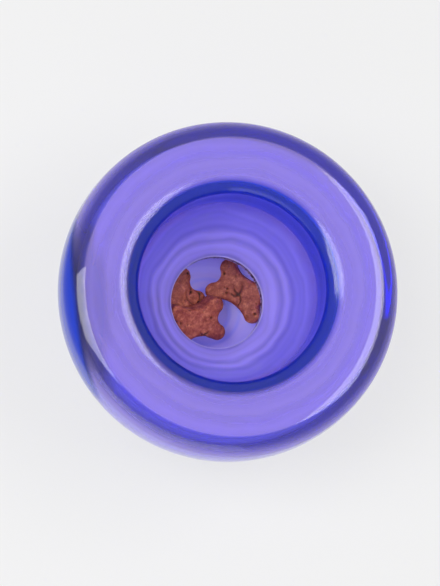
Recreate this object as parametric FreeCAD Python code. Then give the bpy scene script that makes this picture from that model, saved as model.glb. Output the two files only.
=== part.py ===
import FreeCAD, Part
import math
import os

# Hollow soft-rubber ball that lets dog treats out as it rolls. A sphere is cut flat on top,
# and a deep crater in the flat leads down to a round hole over the hollow inside.
# Lengths are in millimetres and angles in degrees. The ball stands on its foot at z = 0,
# with its axis on +Z.

# Bowl shell: the lower, spherical part
ball_radius = 50.0
shell_wall = 5.5
foot_radius = 10.0
foot_recess_radius = 7.2
foot_recess_depth = 0.6
shoulder_radius = 6.5
inner_shoulder_radius = 4.0

# Crater cap: the flat ring on top, with the crater and the treat hole
top_height = 13.5
cap_thickness = 5.5
lip_radius = 27.6
lip_roll_width = 8.0
lip_roll_drop = 4.0
crater_wall = 4.2
crater_draft = 0.3
crater_wall_depth = 17.5
crater_bowl_radius = 12.0
crater_floor_drop = 1.0
ceiling_fillet = 1.6
hole_radius = 14.0
hole_depth = 35.5
hole_length = 3.5
hole_edge_radius = 0.4

# Lap joint where the cap is bonded into the shell
seam_radius = 43.4
lap_depth = 2.7

# Treats: soft chews in the shape of a short bone
treat_length = 19.6
treat_width = 14.0
treat_waist = 9.2
treat_thickness = 6.4
treat_lobe_radius = 2.7
treat_notch = 2.2
treat_edge_radius = 1.3
seat_gap = 0.3

# Two treats lie on the cavity's floor, each by its distance from the axis, the compass angle
# about the axis and the turn of its long side. The third leans across them, with its middle
# at a height over the cavity's lowest point, and slopes down towards a compass angle.
right_offset = 11.54
right_compass_angle = 31.0
right_turn_angle = -32.0
left_offset = 12.27
left_compass_angle = 168.2
left_turn_angle = 37.0
top_offset = 7.03
top_compass_angle = 219.8
top_turn_angle = 11.0
top_rise = 10.82
top_slope_angle = 30.0
top_slope_compass_angle = -37.0

centre_height = math.sqrt(ball_radius**2 - foot_radius**2)
cavity_radius = ball_radius - shell_wall
ceiling_height = top_height - cap_thickness


def shoulder(sphere_radius, plane_height, fillet_radius):
    """A fillet from a sphere into the flat above it: its start, middle and end as (r, z)."""
    centre_z = plane_height - fillet_radius
    centre_r = math.sqrt((sphere_radius - fillet_radius) ** 2 - centre_z**2)
    start_angle = math.atan2(centre_z, centre_r)
    middle_angle = (start_angle + math.pi / 2) / 2
    start = (sphere_radius * math.cos(start_angle), sphere_radius * math.sin(start_angle))
    middle = (
        centre_r + fillet_radius * math.cos(middle_angle),
        centre_z + fillet_radius * math.sin(middle_angle),
    )
    return start, middle, (centre_r, plane_height)


def on_sphere(radius, angle):
    """(r, z) on a sphere about the ball's centre, at an angle above its equator in radians."""
    return radius * math.cos(angle), radius * math.sin(angle)


class Section:
    """Half of a turned section, in (r, z) from the ball's centre, and the ring it makes."""

    def __init__(self, start):
        self.start = start
        self.at = start
        self.edges = []

    def place(self, point):
        return FreeCAD.Vector(point[0], 0, point[1] + centre_height)

    def line(self, point):
        self.edges.append(Part.makeLine(self.place(self.at), self.place(point)))
        self.at = point

    def arc(self, middle, end):
        curve = Part.Arc(self.place(self.at), self.place(middle), self.place(end))
        self.edges.append(curve.toShape())
        self.at = end

    def rounded(self, point, after, radius):
        """Straight on to a corner, round it by radius, and leave towards the point after."""
        corner = FreeCAD.Vector(*point)
        back = (FreeCAD.Vector(*self.at) - corner).normalize()
        ahead = (FreeCAD.Vector(*after) - corner).normalize()
        half = back.getAngle(ahead) / 2
        start = corner + back * (radius / math.tan(half))
        end = corner + ahead * (radius / math.tan(half))
        middle = corner + (back + ahead).normalize() * (radius / math.sin(half) - radius)
        self.line((start.x, start.y))
        self.arc((middle.x, middle.y), (end.x, end.y))

    def roll(self, width, drop):
        """A quarter of an ellipse, from a level top into an upright wall nearer the axis."""
        corner = (self.at[0] - width, self.at[1])
        end = (self.at[0] - width, self.at[1] - drop)
        curve = Part.BezierCurve()
        curve.setPoles([self.place(self.at), self.place(corner), self.place(end)])
        curve.setWeight(2, math.sqrt(0.5))
        self.edges.append(curve.toShape())
        self.at = end

    def ring(self):
        self.line(self.start)
        face = Part.Face(Part.Wire(self.edges))
        return face.revolve(FreeCAD.Vector(), FreeCAD.Vector(0, 0, 1), 360)


def bowl_shell():
    """The ball's spherical wall, with a recessed foot below and a ledge for the cap above."""
    start, middle, end = shoulder(ball_radius, top_height, shoulder_radius)
    inner_start, inner_middle, inner_end = shoulder(
        cavity_radius, ceiling_height, inner_shoulder_radius
    )
    foot_angle = -math.acos(foot_radius / ball_radius)
    start_angle = math.atan2(start[1], start[0])
    inner_angle = math.atan2(inner_start[1], inner_start[0])
    ledge_height = top_height - lap_depth

    section = Section((0, foot_recess_depth - centre_height))
    section.line((foot_recess_radius, foot_recess_depth - centre_height))
    section.line((foot_recess_radius, -centre_height))
    section.line((foot_radius, -centre_height))
    section.arc(on_sphere(ball_radius, (foot_angle + start_angle) / 2), start)
    section.arc(middle, end)
    section.line((seam_radius, top_height))
    section.line((seam_radius, ledge_height))
    section.line((inner_end[0], ledge_height))
    section.line(inner_end)
    section.arc(inner_middle, inner_start)
    section.arc(
        on_sphere(cavity_radius, (inner_angle - math.pi / 2) / 2), (0, -cavity_radius)
    )
    return section.ring()


def crater_cap():
    """The flat ring, the rolled lip, the crater's wall and bowl, and the hole at its bottom."""
    ledge_radius = shoulder(cavity_radius, ceiling_height, inner_shoulder_radius)[2][0]
    ledge_height = top_height - lap_depth
    wall_foot = (
        lip_radius - crater_draft,
        top_height - lip_roll_drop - crater_wall_depth,
    )
    hole_top = (hole_radius, top_height - hole_depth)
    hole_bottom = (hole_radius, top_height - hole_depth - hole_length)
    outer_foot = (wall_foot[0] + crater_wall, wall_foot[1] - crater_floor_drop)
    outer_top = (lip_radius + crater_wall, ceiling_height)
    ceiling_edge = (ledge_radius, ceiling_height)

    section = Section((seam_radius, top_height))
    section.line((lip_radius + lip_roll_width, top_height))
    section.roll(lip_roll_width, lip_roll_drop)
    section.rounded(wall_foot, hole_top, crater_bowl_radius)
    section.rounded(hole_top, hole_bottom, hole_edge_radius)
    section.rounded(hole_bottom, outer_foot, hole_edge_radius)
    section.rounded(outer_foot, outer_top, crater_bowl_radius + crater_wall)
    section.rounded(outer_top, ceiling_edge, ceiling_fillet)
    section.line(ceiling_edge)
    section.line((ledge_radius, ledge_height))
    section.line((seam_radius, ledge_height))
    return section.ring()


lobe_x = treat_length / 2 - treat_lobe_radius
lobe_y = treat_width / 2 - treat_lobe_radius


def hollow_radius(along, across, bottom):
    """Radius of the arc that dips to bottom between two lobes and touches both."""
    step = bottom - across
    return (along**2 + step**2 - treat_lobe_radius**2) / (2 * (treat_lobe_radius - step))


def treat():
    """A flat bone with two lobes at each end, its middle at the origin, long side on X."""
    waist_radius = hollow_radius(lobe_x, lobe_y, treat_waist / 2)
    notch_bottom = treat_length / 2 - treat_notch
    notch_radius = hollow_radius(lobe_y, lobe_x, notch_bottom)
    waist_at = FreeCAD.Vector(0, treat_waist / 2 + waist_radius, 0)
    notch_at = FreeCAD.Vector(notch_bottom + notch_radius, 0, 0)
    lobe_at = FreeCAD.Vector(lobe_x, lobe_y, 0)
    to_waist = (waist_at - lobe_at).normalize()
    to_notch = (notch_at - lobe_at).normalize()
    from_waist = lobe_at + to_waist * treat_lobe_radius
    from_notch = lobe_at + to_notch * treat_lobe_radius
    across = (to_notch - to_waist).normalize()
    tip = lobe_at + FreeCAD.Vector(-across.y, across.x, 0) * treat_lobe_radius

    def mirrored(point, side_x, side_y):
        return FreeCAD.Vector(point.x * side_x, point.y * side_y, 0)

    edges = []
    for side_x in (1, -1):
        for side_y in (1, -1):
            points = [mirrored(p, side_x, side_y) for p in (from_waist, tip, from_notch)]
            edges.append(Part.Arc(*points).toShape())
    for side in (1, -1):
        waist = [
            mirrored(from_waist, 1, side),
            FreeCAD.Vector(0, side * treat_waist / 2, 0),
            mirrored(from_waist, -1, side),
        ]
        notch = [
            mirrored(from_notch, side, 1),
            FreeCAD.Vector(side * notch_bottom, 0, 0),
            mirrored(from_notch, side, -1),
        ]
        edges.append(Part.Arc(*waist).toShape())
        edges.append(Part.Arc(*notch).toShape())
    outline = Part.Wire(Part.sortEdges(edges)[0])
    slab = Part.Face(outline).extrude(FreeCAD.Vector(0, 0, treat_thickness))
    slab.translate(FreeCAD.Vector(0, 0, -treat_thickness / 2))
    rims = [edge for edge in slab.Edges if edge.BoundBox.ZLength < treat_edge_radius]
    return slab.makeFillet(treat_edge_radius, rims).Solids[0]


def tipped(shape, compass, angle):
    """The shape turned about the origin, so that its top leans away from a compass angle."""
    heading = math.radians(compass)
    hinge = FreeCAD.Vector(math.sin(heading), -math.cos(heading), 0)
    shape.rotate(FreeCAD.Vector(), hinge, angle)
    return shape


def floor_treat(offset, compass, turn):
    """A treat flat on the round floor, the seat gap above it, facing the ball's centre."""
    rim = math.hypot(lobe_x, lobe_y) + treat_lobe_radius - treat_edge_radius
    floor_drop = math.sqrt((cavity_radius - seat_gap) ** 2 - rim**2)
    drop = floor_drop - treat_thickness / 2
    shape = treat()
    shape.rotate(FreeCAD.Vector(), FreeCAD.Vector(0, 0, 1), turn)
    shape.translate(FreeCAD.Vector(0, 0, -drop))
    tipped(shape, compass, math.degrees(math.asin(offset / drop)))
    shape.translate(FreeCAD.Vector(0, 0, centre_height))
    return shape


def top_treat():
    """The treat that leans across the other two."""
    heading = math.radians(top_compass_angle)
    shape = treat()
    shape.rotate(FreeCAD.Vector(), FreeCAD.Vector(0, 0, 1), top_turn_angle)
    tipped(shape, top_slope_compass_angle, -top_slope_angle)
    shape.translate(
        FreeCAD.Vector(
            top_offset * math.cos(heading),
            top_offset * math.sin(heading),
            centre_height - cavity_radius + top_rise,
        )
    )
    return shape


pieces = {
    "bowl_shell": bowl_shell(),
    "crater_cap": crater_cap(),
    "treat_right": floor_treat(right_offset, right_compass_angle, right_turn_angle),
    "treat_left": floor_treat(left_offset, left_compass_angle, left_turn_angle),
    "treat_top": top_treat(),
}

os.makedirs("parts", exist_ok=True)
for name, shape in pieces.items():
    shape.exportStep(f"parts/{name}.step")
    box = shape.BoundBox
    print(f"{name}: {shape.ShapeType}, valid {shape.isValid()}, volume {shape.Volume:.1f},"
          f" z {box.ZMin:.2f} to {box.ZMax:.2f}")
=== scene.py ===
from math import acos, atan2, cos, degrees, pi, radians, sin, sqrt, tan

import bmesh
import bpy
from mathutils import Matrix, Vector, noise


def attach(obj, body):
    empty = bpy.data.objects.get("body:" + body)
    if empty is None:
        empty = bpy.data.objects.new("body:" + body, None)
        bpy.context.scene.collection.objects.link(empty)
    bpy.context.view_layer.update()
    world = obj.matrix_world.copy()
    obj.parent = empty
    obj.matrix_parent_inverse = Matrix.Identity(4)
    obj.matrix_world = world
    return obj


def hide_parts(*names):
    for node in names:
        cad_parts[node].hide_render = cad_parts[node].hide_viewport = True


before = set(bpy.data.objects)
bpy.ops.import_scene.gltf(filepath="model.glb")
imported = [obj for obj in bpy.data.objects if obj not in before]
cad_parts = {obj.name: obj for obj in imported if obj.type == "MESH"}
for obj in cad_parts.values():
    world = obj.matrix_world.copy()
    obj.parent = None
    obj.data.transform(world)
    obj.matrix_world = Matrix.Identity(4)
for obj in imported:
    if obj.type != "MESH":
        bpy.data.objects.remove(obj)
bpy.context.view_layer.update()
collection = bpy.context.scene.collection

# The ball: a hollow shell and a crater cap, injection moulded in soft clear elastomer and
# bonded round the flat top, so that light passes the joint as if they were one piece. They are
# drawn as one half section, in millimetres from the ball's centre, and turned about the axis.
mm = 0.001
ball_radius = 50.0
shell_wall = 5.5
cavity_radius = ball_radius - shell_wall
foot_radius = 10.0
foot_recess_radius = 7.2
foot_recess_depth = 0.6
foot_edge_radius = 0.25
centre_height = sqrt(ball_radius**2 - foot_radius**2)
foot_level = -centre_height

top_level = 13.5
ceiling_level = top_level - shell_wall
ceiling_fillet = 1.6
shoulder_radius = 6.5
inner_shoulder_radius = 4.0
rim_curve_radius = 18.0
rim_curve_angle = 10

lip_radius = 27.6
lip_roll_width = 8.0
lip_roll_drop = 4.0
crater_wall = 4.2
wall_foot_radius = 27.3
wall_foot_level = -8.0
crater_bowl_radius = 12.0
crater_floor_drop = 1.0
hole_radius = 14.0
hole_level = -22.0
hole_length = 3.5
hole_edge_radius = 0.4


def linear(code):
    """Linear RGBA from an sRGB hex code."""
    values = [int(code[i:i + 2], 16) / 255 for i in (0, 2, 4)]
    return [v / 12.92 if v <= 0.04045 else ((v + 0.055) / 1.055) ** 2.4 for v in values] + [1]


def share(value, least=0.0):
    """Keeps a value between the least share and 1."""
    return min(1, max(least, value))


# Three layers of the section describe the skin: satin is how rough it is, bloom how much of
# the light its milky film scatters, both from 0 to 1, and tint is that film's hue, in places
# a painted shade or painted highlight.
section = bmesh.new()
satin = section.verts.layers.float.new("satin")
bloom = section.verts.layers.float.new("bloom")
tint = section.verts.layers.float_color.new("tint")
clear, lilac, violet = linear("FFF3FF"), linear("CEB6FF"), linear("BFAFFF")
# The lip's deep blue is painted shade, deepening its dark ring.
slope_violet, wall_blue, painted_ring_shade_blue = linear("BCAAFF"), linear("AD9EFF"), linear("457CFF")
# The hole's two pale edges are painted highlights, and its near-black wall is painted shade.
painted_edge_highlight, paler_painted_edge_highlight, hole_shade = linear("E7DAFF"), linear("EDE5FF"), linear("0A0A45")


def line_to(pen, r, z, cuts=0):
    """Draws a straight run on to (r, z), with evenly spaced points along it. New points
    take over the pen's satin, bloom and tint."""
    start = pen.co.copy()
    for step in range(1, cuts + 2):
        pen = bmesh.ops.extrude_vert_indiv(section, verts=[pen])["verts"][0]
        pen.co = start.lerp(Vector((r, 0, z)), step / (cuts + 1))
    return pen


def arc_about(pen, r, z, turn, steps):
    """Draws an arc on from the pen, by degrees about (r, z), outwards from +X to +Z."""
    arc = bmesh.ops.spin(section, geom=[pen], cent=(r, 0, z), axis=(0, -1, 0),
                         angle=radians(turn), steps=steps)
    return arc["geom_last"][0]


def round_corner(corner, radius, segments):
    """Rounds one point of the section where two straight runs meet."""
    legs = [edge.other_vert(corner).co - corner.co for edge in corner.link_edges]
    offset = radius / tan(legs[0].angle(legs[1]) / 2)
    bmesh.ops.bevel(section, geom=[corner], offset=offset, segments=segments, profile=0.5,
                    material=-1, affect="VERTICES")


def shoulder(radius, level, fillet):
    """Centre (r, z) of the fillet from a sphere into a flat, and the angle where it starts."""
    z = level - fillet
    r = sqrt((radius - fillet) ** 2 - z**2)
    return r, z, degrees(atan2(z, r))


def points_since(first):
    """The section's points from a given number on, in the order in which they were drawn."""
    section.verts.ensure_lookup_table()
    return section.verts[first:]


# The foot: a flat ring round a shallow recess.
pen = section.verts.new((0, 0, foot_level + foot_recess_depth))
pen[bloom], pen[tint] = 0.2, lilac
foot_in = line_to(pen, foot_recess_radius, foot_level + foot_recess_depth, cuts=3)
foot_edge = line_to(foot_in, foot_recess_radius, foot_level)
foot_rim = line_to(foot_edge, foot_radius, foot_level)

# The outer wall and its shoulder. The last stretch before the flat has a wider curve than the
# shoulder, and lies up to 0.2 mm under the flat. The bloom clears towards the foot and over
# the shoulder, and is even on the top's last 0.2 mm.
foot_angle = -degrees(acos(foot_radius / ball_radius))
curve_offset = rim_curve_radius - shoulder_radius
curve_drop = curve_offset * (1 - cos(radians(rim_curve_angle)))
r, z, start = shoulder(ball_radius, top_level - curve_drop, shoulder_radius)
wall_from = len(section.verts)
pen = arc_about(foot_rim, 0, 0, start - foot_angle, 52)
pen = arc_about(pen, r, z, 90 - rim_curve_angle - start, 12)
pen = arc_about(pen, r - curve_offset * sin(radians(rim_curve_angle)),
                z - curve_offset * cos(radians(rim_curve_angle)), rim_curve_angle, 6)
flat_bloom = 0.3
flat_edge_level = top_level - 0.2
shoulder_level, shoulder_depth, shoulder_share = 12.8, 3.0, 0.17
for vert in points_since(wall_from):
    if vert.co.z > flat_edge_level:
        vert[bloom] = flat_bloom
        continue
    above_foot = 0.8 + 0.02 * min(10, vert.co.z)
    off_shoulder = share((shoulder_level - vert.co.z) / shoulder_depth, shoulder_share)
    vert[bloom] = 0.5 * off_shoulder * above_foot
    vert[tint] = violet

# The flat top, satin and lightly milky, and the lip that rolls from it into the crater: a
# quarter of an oval, which turns clear towards the crater and is painted deep blue there:
# painted shade that deepens the dark ring of the lip.
pen[satin], pen[bloom], pen[tint] = 0.3, flat_bloom, lilac
lip_start = lip_radius + lip_roll_width
lip_clear_radius, lip_clear_width, lip_clear_share = 30.5, 2, 0.25
ring_shade_radius = 31
pen = line_to(pen, lip_start, top_level, cuts=7)
lip_from = len(section.verts)
pen = arc_about(pen, lip_start, top_level - lip_roll_width, 90, 24)
lip = points_since(lip_from)
bmesh.ops.scale(section, vec=(1, 1, lip_roll_drop / lip_roll_width),
                space=Matrix.Translation((0, 0, -top_level)), verts=lip)
for vert in lip:
    off_lip = share((vert.co.x - lip_clear_radius) / lip_clear_width, lip_clear_share)
    vert[bloom] = flat_bloom * off_lip
    # Painted shade: deep blue on the lip's inner part, for its dark ring.
    if vert.co.x < ring_shade_radius:
        vert[tint] = painted_ring_shade_blue


def on_slope(low, high, r):
    """The point at radius r on the straight slope between two points (r, z)."""
    return r, low[1] + (high[1] - low[1]) * (r - low[0]) / (high[0] - low[0])


# The crater: a glossy wall that narrows slightly, a round bowl and a slope down to the hole.
wall_foot = wall_foot_radius, wall_foot_level
hole_brink = hole_radius, hole_level
pen = line_to(pen, (lip_radius + wall_foot_radius) / 2, wall_foot_level / 2, cuts=5)
pen[satin], pen[bloom], pen[tint] = 0.0, 0.3, wall_blue
bowl = line_to(pen, *wall_foot)
bowl[bloom] = 0.46
pen = line_to(bowl, *on_slope(hole_brink, wall_foot, hole_radius + 5.3))
pen[bloom], pen[tint] = 0.5, slope_violet
pen = line_to(pen, *on_slope(hole_brink, wall_foot, hole_radius + 2.3))
pen[bloom] = 0.66
pen = line_to(pen, *on_slope(hole_brink, wall_foot, hole_radius + 0.5))

# The hole: rounded edges painted pale as painted highlights, and a satin wall between them
# painted near-black blue as painted shade, for the dark line it shows.
hole_top = line_to(pen, *hole_brink)
# Painted highlight on the hole's upper edge.
hole_top[bloom], hole_top[tint] = 0.9, painted_edge_highlight
pen = line_to(hole_top, hole_radius, hole_level - 0.5)
# Painted shade: the hole's wall is near-black blue.
pen[satin], pen[bloom], pen[tint] = 1.0, 1.0, hole_shade
pen = line_to(pen, hole_radius, hole_level - hole_length + hole_edge_radius)
hole_end = line_to(pen, hole_radius, hole_level - hole_length)
# Painted highlight: the lower edge is paler still.
hole_end[tint] = paler_painted_edge_highlight

# The crater's underside, satin and nearly clear, and the hollow's ceiling.
below_hole = hole_radius, hole_level - hole_length
below_bowl = wall_foot_radius + crater_wall, wall_foot_level - crater_floor_drop
below_wall = 31.6, 1.2
pen = line_to(hole_end, *on_slope(below_hole, below_bowl, hole_radius + 0.5))
pen[satin], pen[bloom], pen[tint] = 1.0, 0.5, lilac
under = line_to(pen, *below_bowl)
under[bloom], under[tint] = 0.1, clear
pen = line_to(under, *below_wall)
ceiling = line_to(pen, lip_radius + crater_wall, ceiling_level)
r, z, start = shoulder(cavity_radius, ceiling_level, inner_shoulder_radius)
pen = line_to(ceiling, r, ceiling_level, cuts=5)
pen[bloom], pen[tint] = 0.4, lilac
pen = arc_about(pen, r, z, start - 90, 12)
pen[satin] = 0.0

# The hollow's round wall: glossy above, and from 5 mm under the middle down ever more satin and
# milky. Two faint blue rings at the bottom lie over the foot's steps.
foot_rings = (6.3, 7.9), (9.3, 10.7)
foot_ring_level = -40
satin_level, satin_depth = -5, 15
hollow_from = len(section.verts)
pen = arc_about(pen, 0, 0, -90 - start, 72)
pen.co.x = 0
for vert in points_since(hollow_from):
    below = (satin_level - vert.co.z) / satin_depth
    vert[satin] = share(below)
    vert[bloom] = 0.55 * share(below, 0.08)
    over_step = any(inner < vert.co.x < outer for inner, outer in foot_rings)
    if over_step and vert.co.z < foot_ring_level:
        vert[tint], vert[bloom] = wall_blue, 0.4

round_corner(bowl, crater_bowl_radius, 16)
round_corner(under, crater_bowl_radius + crater_wall, 18)
round_corner(ceiling, ceiling_fillet, 8)
for corner in (hole_top, hole_end):
    round_corner(corner, hole_edge_radius, 6)
for corner in (foot_in, foot_edge, foot_rim):
    round_corner(corner, foot_edge_radius, 4)
bmesh.ops.scale(section, vec=(mm, mm, mm), verts=section.verts)
bmesh.ops.translate(section, vec=(0, 0, centre_height * mm), verts=section.verts)
bmesh.ops.spin(section, geom=section.verts[:] + section.edges[:], cent=(0, 0, 0),
               axis=(0, 0, 1), angle=2 * pi, steps=300, use_merge=True)
bmesh.ops.remove_doubles(section, verts=section.verts, dist=1e-7)
bmesh.ops.recalc_face_normals(section, faces=section.faces)
for face in section.faces:
    face.smooth = True
ball_mesh = bpy.data.meshes.new("clear_ball")
section.to_mesh(ball_mesh)
section.free()
ball = bpy.data.objects.new("clear_ball", ball_mesh)
collection.objects.link(ball)


def add_node(tree, kind, settings=None, **links):
    """Adds a shader node; settings hold its properties and sockets, links what feeds it. A
    socket is given by its name or number, and as a link a number follows an underscore."""
    node = tree.nodes.new(kind)
    for key, value in (settings or {}).items():
        if isinstance(key, int) or key in node.inputs:
            node.inputs[key].default_value = value
        else:
            setattr(node, key, value)
    for key, source in links.items():
        socket = node.inputs[int(key[1:])] if key[1:].isdigit() else node.inputs[key]
        tree.links.new(source, socket)
    return node


# Clear thermoplastic elastomer, injection moulded and glossy. It is tinted violet-blue all
# through, so that thick places turn deep blue, and a faint milky bloom lies on its skin. The
# bloom is what the skin doesn't let through, and scatters in the skin's tint.
elastomer = bpy.data.materials.new("clear_violet_elastomer")
elastomer.use_nodes = True
tree = elastomer.node_tree
skin = tree.nodes["Principled BSDF"]
skin.inputs["IOR"].default_value = 1.43
satin_skin = add_node(tree, "ShaderNodeAttribute", {"attribute_name": "satin"})
roughness = add_node(tree, "ShaderNodeMapRange", {"To Min": 0.02, "To Max": 0.35},
                     Value=satin_skin.outputs["Fac"])
tree.links.new(roughness.outputs["Result"], skin.inputs["Roughness"])

# Rings in the bloom round the axis, 2.8 mm apart and wandering a little over 11 mm. They
# are strong in the crater and hardly show on the flat top and the outside.
ring_spacing = 2.8 * mm
wander_size = 11 * mm
ring_swing = 0.4
place = add_node(tree, "ShaderNodeTexCoord").outputs["Object"]
flat_place = add_node(tree, "ShaderNodeVectorMath", {"operation": "MULTIPLY", 1: (1, 1, 0)},
                      _0=place)
radius = add_node(tree, "ShaderNodeVectorMath", {"operation": "LENGTH"},
                  _0=flat_place.outputs[0]).outputs["Value"]
wander = add_node(tree, "ShaderNodeTexNoise", {"Scale": 1 / wander_size, "Detail": 1.0},
                  Vector=place)
turns = add_node(tree, "ShaderNodeMath", {"operation": "MULTIPLY_ADD", 1: 1 / ring_spacing},
                 _0=radius, _2=wander.outputs["Fac"])
rings = add_node(tree, "ShaderNodeTexNoise", {
    "noise_dimensions": "1D", "Scale": 1.0, "Detail": 1.0}, W=turns.outputs[0])
strength = add_node(tree, "ShaderNodeMapRange", {
    "From Min": 27.4 * mm, "From Max": 29.0 * mm,
    "To Min": 1.0, "To Max": 0.12}, Value=radius)
swing = add_node(tree, "ShaderNodeMapRange", {
    "From Min": 0.3, "From Max": 0.7, "To Min": -ring_swing, "To Max": ring_swing,
    "clamp": False}, Value=rings.outputs["Fac"])
change = add_node(tree, "ShaderNodeMath", {"operation": "MULTIPLY_ADD", 2: 1.0},
                  _0=swing.outputs["Result"], _1=strength.outputs["Result"])

# At one side the thick rim gathers light and looks deep blue. That light is painted: a flat
# oval of painted blue glow in the bloom round a point outside the rim, where heights count
# three times, and a painted darker surround, where the bloom just outside the oval is a fifth
# thinner.
oval_middle = (-80 * mm, -9 * mm, 153 * mm)
oval_squash = (1, 1, 3)
# Painted light: the oval's deep blue stands in for light gathered in the rim.
painted_glow_blue = linear("0030BC")
milky_skin = add_node(tree, "ShaderNodeAttribute", {"attribute_name": "bloom"})
squashed = add_node(tree, "ShaderNodeVectorMath", {"operation": "MULTIPLY", 1: oval_squash},
                    _0=place)
reach = add_node(tree, "ShaderNodeVectorMath", {"operation": "DISTANCE", 1: oval_middle},
                 _0=squashed.outputs[0]).outputs["Value"]
painted_dim_surround = add_node(tree, "ShaderNodeMapRange", {
    "From Min": 48.0 * mm, "From Max": 58.0 * mm, "To Min": 0.8}, Value=reach)
painted_glow_share = add_node(tree, "ShaderNodeMapRange", {
    "interpolation_type": "SMOOTHSTEP", "From Min": 43.5 * mm, "From Max": 48.5 * mm,
    "To Min": 1.0, "To Max": 0.0}, Value=reach)
painted_glow_hue_share = add_node(tree, "ShaderNodeMapRange", {
    "interpolation_type": "SMOOTHSTEP", "From Min": 46.0 * mm, "From Max": 50.5 * mm,
    "To Min": 1.0, "To Max": 0.0}, Value=reach)
kept = add_node(tree, "ShaderNodeMath", {"operation": "MULTIPLY"},
                _0=milky_skin.outputs["Fac"], _1=painted_dim_surround.outputs["Result"])
varied = add_node(tree, "ShaderNodeMath", {"operation": "MULTIPLY"},
                  _0=kept.outputs[0], _1=change.outputs[0])
bloom_and_painted_glow = add_node(tree, "ShaderNodeMath", {"operation": "MAXIMUM", "use_clamp": True},
                _0=varied.outputs[0], _1=painted_glow_share.outputs["Result"])
clearness = add_node(tree, "ShaderNodeMapRange", {"To Min": 1.0, "To Max": 0.0},
                     Value=bloom_and_painted_glow.outputs[0])
tree.links.new(clearness.outputs["Result"], skin.inputs["Transmission Weight"])
hue = add_node(tree, "ShaderNodeAttribute", {"attribute_name": "tint"})
# Inside the oval the skin's hue turns to the painted blue glow.
skin_hue = add_node(tree, "ShaderNodeMix", {"data_type": "RGBA", 7: painted_glow_blue},
                    _0=painted_glow_hue_share.outputs["Result"], _6=hue.outputs["Color"])
tree.links.new(skin_hue.outputs[2], skin.inputs["Base Color"])
absorption = add_node(tree, "ShaderNodeVolumeAbsorption", {
    "Color": linear("006CFB"), "Density": 115.0})
tree.links.new(absorption.outputs[0], tree.nodes["Material Output"].inputs["Volume"])
ball_mesh.materials.append(elastomer)
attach(ball, "ball")
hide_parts("bowl_shell", "crater_cap")

# The treats: soft chews, cut as short bones from a flat sheet of meat dough and baked. Baking
# leaves them slightly lumpy, with a grainy skin, open pits and a few cracks, painted dark as
# painted shade in their hollows. The dough's mottling is about as coarse as its crumbs, and the
# grain is its meal.
mesh_size = 0.28 * mm
mottle_size = 1.9 * mm
grain_size, grain_height = 0.5 * mm, 0.15 * mm
chew = bpy.data.materials.new("baked_meat_chew")
chew.use_nodes = True
tree = chew.node_tree
skin = tree.nodes["Principled BSDF"]
skin.inputs["Roughness"].default_value = 0.62
place = add_node(tree, "ShaderNodeTexCoord").outputs["Object"]
mottle = add_node(tree, "ShaderNodeTexNoise", {
    "Scale": 1 / mottle_size, "Detail": 6.0, "Roughness": 0.78}, Vector=place)
shade = add_node(tree, "ShaderNodeValToRGB", Fac=mottle.outputs["Fac"])
dark, light = shade.color_ramp.elements
dark.position, dark.color = 0.36, linear("84301F")
light.position, light.color = 0.66, linear("D8805A")
shade.color_ramp.elements.new(0.5).color = linear("AC5038")
# Painted shade: pits, pores and cracks darken towards near-black brown.
pit_shade_share = add_node(tree, "ShaderNodeAttribute", {"attribute_name": "pit_shade"})
mottle_and_pit_shade = add_node(tree, "ShaderNodeMix", {"data_type": "RGBA", 7: linear("2A0E0A")},
                 _0=pit_shade_share.outputs["Fac"], _6=shade.outputs["Color"])
tree.links.new(mottle_and_pit_shade.outputs[2], skin.inputs["Base Color"])
grain = add_node(tree, "ShaderNodeTexNoise", {"Scale": 1 / grain_size, "Detail": 6.0},
                 Vector=place)
relief = add_node(tree, "ShaderNodeBump", {"Strength": 0.5, "Distance": grain_height},
                  Height=grain.outputs["Fac"])
tree.links.new(relief.outputs["Normal"], skin.inputs["Normal"])

# Sizes in millimetres of what baking leaves: how far apart, and how wide, tall or deep.
lump_spacing, lump_height = 4.5, 0.16
grit_spacing, grit_height = 0.9, 0.07
pit_spacing, pit_radius, pit_drop = 2.7, 0.65, 0.9
pore_spacing, pore_radius, pore_drop = 1.3, 0.32, 0.35
crack_spacing, crack_width, crack_drop = 4.0, 0.07, 0.5
crack_zone = 8.0
empty_share = 0.4
inwards = 0.6


def pit_depth(point, spacing, size, seed):
    """How deep a round pit is at a point, from 0 to 1, in a scatter of pits."""
    distances, cells = noise.voronoi((point + Vector((seed, 0, 0)) * mm) / (spacing * mm))
    if noise.cell(cells[0] * 7.3) < empty_share:
        return 0.0
    return max(0.0, 1 - (distances[0] * spacing / size) ** 2)


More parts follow.
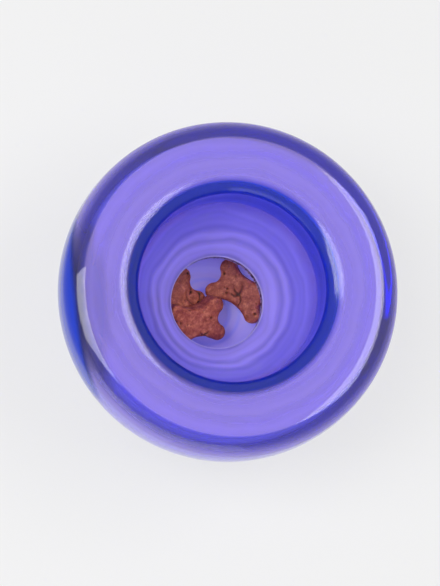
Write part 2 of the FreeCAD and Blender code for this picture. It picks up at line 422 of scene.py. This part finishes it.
for seed, node in enumerate(("treat_right", "treat_left", "treat_top")):
    piece = bpy.data.objects.new(f"{node}_chew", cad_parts[node].data.copy())
    collection.objects.link(piece)
    shape = bmesh.new()
    shape.from_mesh(piece.data)
    bmesh.ops.remove_doubles(shape, verts=shape.verts, dist=1e-6)
    shape.to_mesh(piece.data)
    shape.free()
    even = piece.modifiers.new("even_faces", "REMESH")
    even.mode = "VOXEL"
    even.voxel_size = mesh_size
    evaluated = piece.evaluated_get(bpy.context.evaluated_depsgraph_get())
    mesh = bpy.data.meshes.new_from_object(evaluated)
    piece.modifiers.clear()
    piece.data = mesh
    shape = bmesh.new()
    shape.from_mesh(mesh)
    bmesh.ops.smooth_vert(shape, verts=shape.verts, factor=0.5, use_axis_x=True,
                          use_axis_y=True, use_axis_z=True)
    shape.normal_update()
    pit_shade = shape.verts.layers.float.new("pit_shade")
    for vert in shape.verts:
        at = vert.co + Vector((31, 17, 5)) * mm * seed
        lumps = lump_height * (noise.noise(at / (lump_spacing * mm)) - inwards)
        grit = grit_height * (noise.noise(at / (grit_spacing * mm)) - inwards)
        pits = pit_depth(vert.co, pit_spacing, pit_radius, seed * 11.0)
        pores = pit_depth(vert.co, pore_spacing, pore_radius, seed * 23.0)
        crack = max(0, 1 - abs(noise.noise(at / (crack_spacing * mm))) / crack_width)
        crack *= share(5 * noise.noise(at / (crack_zone * mm)) - 1)
        # Painted shade in the pits, pores and cracks.
        vert[pit_shade] = min(1, 1.2 * pits + 0.8 * pores + crack)
        depth = pit_drop * pits + pore_drop * pores + crack_drop * crack
        vert.co += vert.normal * (lumps + grit - depth) * mm
    for face in shape.faces:
        face.smooth = True
    shape.to_mesh(mesh)
    shape.free()
    mesh.materials.clear()
    mesh.materials.append(chew)
    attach(piece, node)
    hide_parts(node)

# The stage: a plain floor of pale studio paper under an even sky, with three soft boxes round
# the ball. The sky is seen as pale as the paper, but lights the ball at a lower level.
paper_grey = linear("EFEFEF")
floor_half_width = 3.0
floor_gap = 0.2 * mm


def seen_directly(tree):
    """1 for what the camera sees straight, in a reflection or through something clear."""
    path = add_node(tree, "ShaderNodeLightPath")
    first = add_node(tree, "ShaderNodeMath", {"operation": "MAXIMUM"},
                     _0=path.outputs["Is Camera Ray"], _1=path.outputs["Is Glossy Ray"])
    both = add_node(tree, "ShaderNodeMath", {"operation": "MAXIMUM"},
                    _0=first.outputs[0], _1=path.outputs["Is Transmission Ray"])
    return both.outputs[0]


floor_mesh = bpy.data.meshes.new("studio_floor")
floor_shape = bmesh.new()
bmesh.ops.create_grid(floor_shape, x_segments=1, y_segments=1, size=floor_half_width)
bmesh.ops.translate(floor_shape, vec=(0, 0, -floor_gap), verts=floor_shape.verts)
floor_shape.to_mesh(floor_mesh)
floor_shape.free()
floor = bpy.data.objects.new("studio_floor", floor_mesh)
collection.objects.link(floor)
paper = bpy.data.materials.new("pale_studio_paper")
paper.use_nodes = True
tree = paper.node_tree
paper_skin = tree.nodes["Principled BSDF"]
paper_skin.inputs["Base Color"].default_value = paper_grey
paper_skin.inputs["Roughness"].default_value = 1.0
paper_skin.inputs["Specular IOR Level"].default_value = 0.0
glow = add_node(tree, "ShaderNodeEmission", {"Color": paper_grey, "Strength": 1.0})
glow_share = add_node(tree, "ShaderNodeMapRange", {"To Max": 0.75}, Value=seen_directly(tree))
mixed = add_node(tree, "ShaderNodeMixShader", _0=glow_share.outputs[0],
                 _1=paper_skin.outputs[0], _2=glow.outputs[0])
tree.links.new(mixed.outputs[0], tree.nodes["Material Output"].inputs["Surface"])
floor_mesh.materials.append(paper)

side_light, overhead_light = 0.36, 0.28
world = bpy.data.worlds.new("studio")
bpy.context.scene.world = world
world.use_nodes = True
tree = world.node_tree
around = tree.nodes["Background"]
around.inputs["Color"].default_value = (1, 1, 1, 1)
direction = add_node(tree, "ShaderNodeTexCoord").outputs["Generated"]
height = add_node(tree, "ShaderNodeSeparateXYZ", Vector=direction).outputs["Z"]
level = add_node(tree, "ShaderNodeMapRange", {
    "interpolation_type": "SMOOTHSTEP", "From Min": 0.1, "From Max": 0.8,
    "To Min": side_light, "To Max": overhead_light}, Value=height)
shown = add_node(tree, "ShaderNodeMix", {3: paper_grey[0]}, _0=seen_directly(tree),
                 _2=level.outputs["Result"])
tree.links.new(shown.outputs[0], around.inputs["Strength"])

# The camera looks down at the crater, 12 degrees off the ball's axis. The ball's outline in
# the photograph, in pixels, gives the lens and the shift.
photo_width, photo_height = 440, 586
outline_x, outline_y, outline_radius = 227.8, 291.9, 170.2
tilt, heading = radians(12), radians(44)
distance = 0.7
middle = Vector((0, 0, centre_height * mm))
back = Vector((-sin(tilt) * cos(heading), -sin(tilt) * sin(heading), cos(tilt)))
right = Vector((0, 1, 0)).cross(back).normalized()
up = back.cross(right)
view = Matrix((right, up, back)).transposed()
camera = bpy.data.objects.new("camera", bpy.data.cameras.new("camera"))
sensor = 36
edge = ball_radius * mm
camera.data.sensor_width = sensor
outline_share = outline_radius / photo_height
camera.data.lens = outline_share * sensor * sqrt(distance**2 - edge**2) / edge
camera.data.shift_x = -(outline_x - photo_width / 2) / photo_height
camera.data.shift_y = (outline_y - photo_height / 2) / photo_height
camera.matrix_world = Matrix.Translation(middle + back * distance) @ view.to_4x4()
collection.objects.link(camera)
bpy.context.scene.camera = camera

box_distance = 0.9


def soft_box(name, direction, width, height, level):
    """A soft box that faces the ball. Its direction is given in the camera's axes, and its
    width and height are half sizes for each metre of distance."""
    aim = (view @ Vector(direction)).normalized()
    box = bpy.data.objects.new(name, bpy.data.lights.new(name, "AREA"))
    box.data.shape = "RECTANGLE"
    box.data.size = 2 * width * box_distance
    box.data.size_y = 2 * height * box_distance
    box.data.energy = level * pi * box.data.size * box.data.size_y
    across = (right - aim * right.dot(aim)).normalized()
    turn = Matrix((across, aim.cross(across), aim)).transposed()
    box.matrix_world = Matrix.Translation(middle + aim * box_distance) @ turn.to_4x4()
    collection.objects.link(box)


soft_box("soft_box_left", (-0.36, 0.13, 0.92), width=0.31, height=0.2, level=8.0)
soft_box("soft_box_right", (0.6, 0.2, 0.77), width=0.16, height=0.34, level=6.0)
soft_box("soft_box_front", (-0.35, -0.85, 0.35), width=0.7, height=0.35, level=1.2)

# Clear walls one behind another need many bounces.
scene = bpy.context.scene
scene.view_settings.view_transform = "Standard"
scene.cycles.max_bounces = 24
scene.cycles.transmission_bounces = 24
